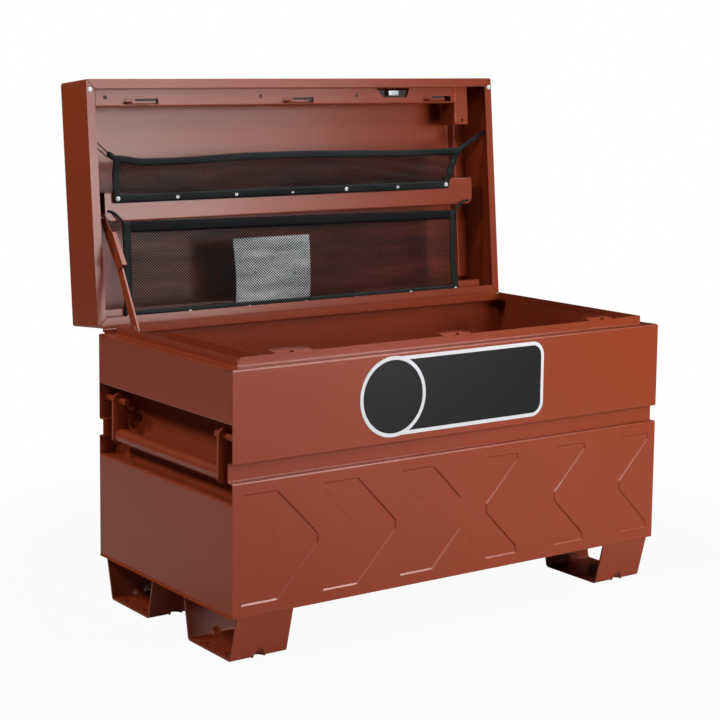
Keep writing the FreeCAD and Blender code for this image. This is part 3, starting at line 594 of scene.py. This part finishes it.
# ---- nets ---------------------------------------------------------------------------------
def along_curve(points, x):
    """Smooth height of a curve through a few points."""
    for (x0, s0), (x1, s1) in zip(points, points[1:]):
        if x <= x1:
            return between((s0, s1), ease(x, x0, x1))
    return points[-1][1]


def ripples(waves, u, v):
    """Sum of folds, each a height with its radians across and up the net and its start."""
    return sum(height * math.sin(u * across + v * up + start) for height, across, up, start in waves)


def upper_net_place(u, v):
    """Upper net: held at its bottom hem and its two top corners, slack in between."""
    x = between((UPPER_LEFT, between(UPPER_RIGHT, v)), u)
    s = between((UPPER_FOOT, along_curve(UPPER_TOP, x)), v)
    sag = UPPER_SAG * swell(u, 0.6) * swell(min(v * 1.08, 1.0))
    folds = ripples(UPPER_FOLDS, u, v) + ripples(UPPER_PULL, u, v) * ease(u, 0.55, 0.95)
    lean = UPPER_LEAN * ease(v, 0.6, 1.0)
    return in_lid(x, s, NET_W + NET_OFF + sag + folds * swell(v) + lean)


def lower_net_w(u, v):
    """How far the lower net stands out of the lid."""
    sag = LOWER_SAG * swell(u, 0.5) * swell(v, 0.7)
    return NET_W + NET_OFF + sag + ripples(LOWER_FOLDS, u, v) * swell(v) + LOWER_LEAN * v


def lower_net_place(u, v):
    """Lower net: hangs from the elastics at its top corners and is snapped down along its foot."""
    left = LOWER_LEFT + LOWER_TAPER * v
    right = LOWER_RIGHT - LOWER_TAPER * v - LOWER_WAIST * swell(v)
    s = between((LOWER_FOOT, between(LOWER_TOP, u)), v)
    return in_lid(between((left, right), u), s, lower_net_w(u, v))


def hem_strip(name, place, across, up, steps, material):
    """Tape or folded net sewn over part of a net, standing a little proud of it."""
    proud = in_lid(0, 0, HEM_PROUD) - in_lid(0, 0, 0)
    mesh = cloth_grid(name, *steps, lambda u, v: place(between(across, u), between(up, v)) + proud)
    strip = new_object(name, mesh, material, "lid")
    thicken(strip, HEM_THICK)
    return strip


def build_net(name, place, hems, finishes):
    """Net panel with its hems; the finishes are the cloth's and the hems' by label, or the tape's."""
    mesh = cloth_grid(f"{name}_cloth", *NET_GRID, place)
    panel = new_object(f"{name}_cloth", mesh, finishes["cloth"], "lid")
    strips = [hem_strip(f"{name}_{label}", place, across, up, steps, finishes.get(label, finishes["tape"]))
              for label, across, up, steps in hems]
    height = (place(0.5, 1) - place(0.5, 0)).length
    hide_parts(name)


def build_nets(tape):
    """Both nets; the lower one's top hem is folded net instead of tape."""
    build_net("upper_net", upper_net_place, UPPER_HEMS,
              {"cloth": net_mesh("net_fine", pitch=0.0042, cover=0.42), "tape": tape})
    build_net("lower_net", lower_net_place, LOWER_HEMS,
              {"cloth": net_mesh("net_mesh", pitch=0.0046, cover=0.23), "tape": tape,
               "top_hem": net_mesh("net_folded", pitch=0.0046, cover=0.62)})


def cord_piece(name, points, radius, material):
    """Short elastic through a few points, fixed at both ends."""
    curve = bpy.data.curves.new(name, "CURVE")
    curve.dimensions = "3D"
    curve.bevel_depth, curve.bevel_resolution, curve.resolution_u = radius, 4, 8
    line = curve.splines.new("NURBS")
    line.points.add(len(points) - 1)
    for point, place in zip(line.points, points):
        point.co = (*place, 1)
    line.order_u, line.use_endpoint_u = 3, True
    curve.materials.append(material)
    piece = bpy.data.objects.new(name, curve)
    bpy.context.scene.collection.objects.link(piece)
    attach(piece, "lid")


def build_cords(tape):
    """Elastic at the nets' corners that ties them to the lid's sides and to the slots in its stiffener."""
    for name, radius, first, last, slack in UPPER_CORDS:
        corner, side = in_lid(*first), in_lid(*last)
        cord_piece(name, (corner, corner.lerp(side, 0.5) + slack, side), radius, tape)
    for name, radius, route in LOWER_CORDS:
        cord_piece(name, [in_lid(*point) for point in route], radius, tape)


def build_knots(tape):
    """Gathered corners of the upper net, where the elastic is tied."""
    for name, x, s, lean in KNOTS:
        mesh = turned(name, KNOT, steps=18)
        upright = Matrix.Rotation(math.radians(-90), 4, "X")
        mesh.transform(Matrix.Rotation(math.radians(lean), 4, "Z") @ upright)
        mesh.transform(lid_matrix(x, s, KNOT_W))
        new_object(name, mesh, tape, "lid")


def build_snaps(cap, recess_shade):
    """Domed snap caps along the foot of both nets, each with a socket in the middle painted near black as shade.
    """
    places = [(x, s, row) for row, s, xs in SNAP_ROWS for x in xs]
    for k, (x, s, row) in enumerate(places):
        for label, profile, finish in (("snap", SNAP_CAP, cap), ("socket", SNAP_SOCKET, recess_shade)):
            mesh = turned(f"{label}_{row}_{k}", profile)
            mesh.transform(lid_matrix(x, s, SNAP_W))
            new_object(f"{label}_{row}_{k}", mesh, finish, "lid")


# ---- plate and card -----------------------------------------------------------------------
def build_front_plate(black, white):
    """Blank plate on the upper front: white edge, black field and a plain white ring at its round end."""
    for name, inset, thickness, ink in (("plate_edge", 0, EDGE_THICK, white),
                                        ("plate_field", PLATE_EDGE, FIELD_THICK, black)):
        mesh = flat_plate(name, plate_outline(inset), thickness, PLATE_BEVEL)
        mesh.transform(Matrix.Translation((0, FRONT_Y, 0)))
        new_object(name, mesh, ink, "chest", smooth=False)
    inner, outer, (back, front) = PLATE_ROUND - PLATE_EDGE, PLATE_ROUND, RING_HEIGHTS
    mesh = turned("plate_ring", ((inner, back), (inner, front), (outer, front), (outer, back)), steps=96)
    place = Matrix.Translation((PLATE_X[0] + PLATE_ROUND, FRONT_Y, sum(PLATE_Z) / 2))
    mesh.transform(place @ Matrix.Rotation(math.pi / 2, 4, "X"))
    new_object("plate_ring", mesh, white, "chest", smooth=False)


def card_place(u, v):
    """Point of the card, which lies against the back of the lower net."""
    x, s = between(CARD_X, u) - CARD_LEAN * v * (1 - u), between(CARD_S, v)
    across = (x - LOWER_LEFT) / (LOWER_RIGHT - LOWER_LEFT)
    up = (s - LOWER_FOOT) / (sum(LOWER_TOP) / 2 - LOWER_FOOT)
    return in_lid(x, s, lower_net_w(across, up) - CARD_BEHIND)


def build_card(paper):
    """Blank pale card in the pocket, close behind the lower net."""
    card = new_object("card", cloth_grid("card", 24, 18, card_place), paper, "lid")
    thicken(card, CARD_THICK)


# ---- small fittings -----------------------------------------------------------------------
def build_screws(recess_shade):
    """Countersunk screws that hold the latch bar's guides, painted near black as the shade in their heads."""
    for k, x in enumerate(SCREW_X):
        mesh = turned(f"guide_screw_{k}", SCREW, steps=24)
        mesh.transform(lid_matrix(x, SCREW_S, CHANNEL_W))
        new_object(f"guide_screw_{k}", mesh, recess_shade, "lid")


def build_buffers(material):
    """Round buffers on the lid's flange at the front corners."""
    for name, x in BUFFERS:
        mesh = turned(name, BUFFER, steps=24)
        mesh.transform(lid_matrix(x, BUFFER_S, 0))
        new_object(name, mesh, material, "lid")


def build_welds(material):
    """Rough bead of weld where the latch channel meets the lock housing."""
    for name, low, high in WELDS:
        beads = bmesh.new()
        for k in range(round((high - low) / BEAD_PITCH)):
            stray, wide, tall = (most * math.sin(k * turn + start) for most, turn, start in BEAD_UNEVEN)
            place = lid_matrix(WELD_X + stray, low + BEAD_PITCH * (k + 0.5), CHANNEL_W)
            size = Matrix.Diagonal((BEAD[0] + wide, BEAD[1], BEAD[2] + tall, 1))
            bmesh.ops.create_icosphere(beads, subdivisions=2, radius=1, matrix=place @ size)
        mesh = bpy.data.meshes.new(name)
        beads.to_mesh(mesh)
        beads.free()
        new_object(name, mesh, material, "lid")


# ---- build --------------------------------------------------------------------------------
def paint_nodes(finishes):
    """Every solid takes its own finish, or else the finish of its material slot."""
    slots = {part["node"]: part["material_slot"] for part in frame["record"]["subparts"]}
    for name, node in nodes.items():
        node.data.materials.clear()
        node.data.materials.append(finishes.get(name) or finishes[slots[name]])


def main():
    """The whole scene, from the camera to the smallest fittings."""
    bpy.context.scene.view_settings.view_transform = "Standard"
    make_camera()
    make_world()
    make_floor()
    make_lamps()
    # the recess finish is painted shade, for the snaps' sockets and the guide screws
    tape, recess_shade = black_web(), flat_colour("recess_painted_shade", RECESS_SHADE_BLACK, roughness=0.5)
    paint_nodes({"powder_coat": powder_coat(), "mesh": tape,
                 "plated_steel": metal("plated_steel", ZINC, roughness=0.16),
                 "dull_steel": metal("dull_steel", DULL_STEEL, roughness=0.42),
                 # the latch bar's near-black steel is painted shade behind the slots
                 "latch_bar": metal("bar_steel_painted_shade", BAR_PAINTED_SHADE, roughness=0.5)})
    build_nets(tape)
    build_cords(tape)
    build_knots(tape)
    build_snaps(enamel("snap_cap"), recess_shade)
    build_front_plate(flat_colour("plate_black", PLATE_BLACK, roughness=0.3, specular=0.2),
                      flat_colour("plate_white", PLATE_WHITE, roughness=0.35, specular=0.3))
    build_card(flat_colour("card_paper", CARD_WHITE, roughness=0.6))
    build_screws(recess_shade)
    build_buffers(enamel("buffer_white"))
    # the weld beads' coat is twice as light: painted highlight
    build_welds(powder_coat("weld_coat_painted_highlight", shade=2.0))


main()
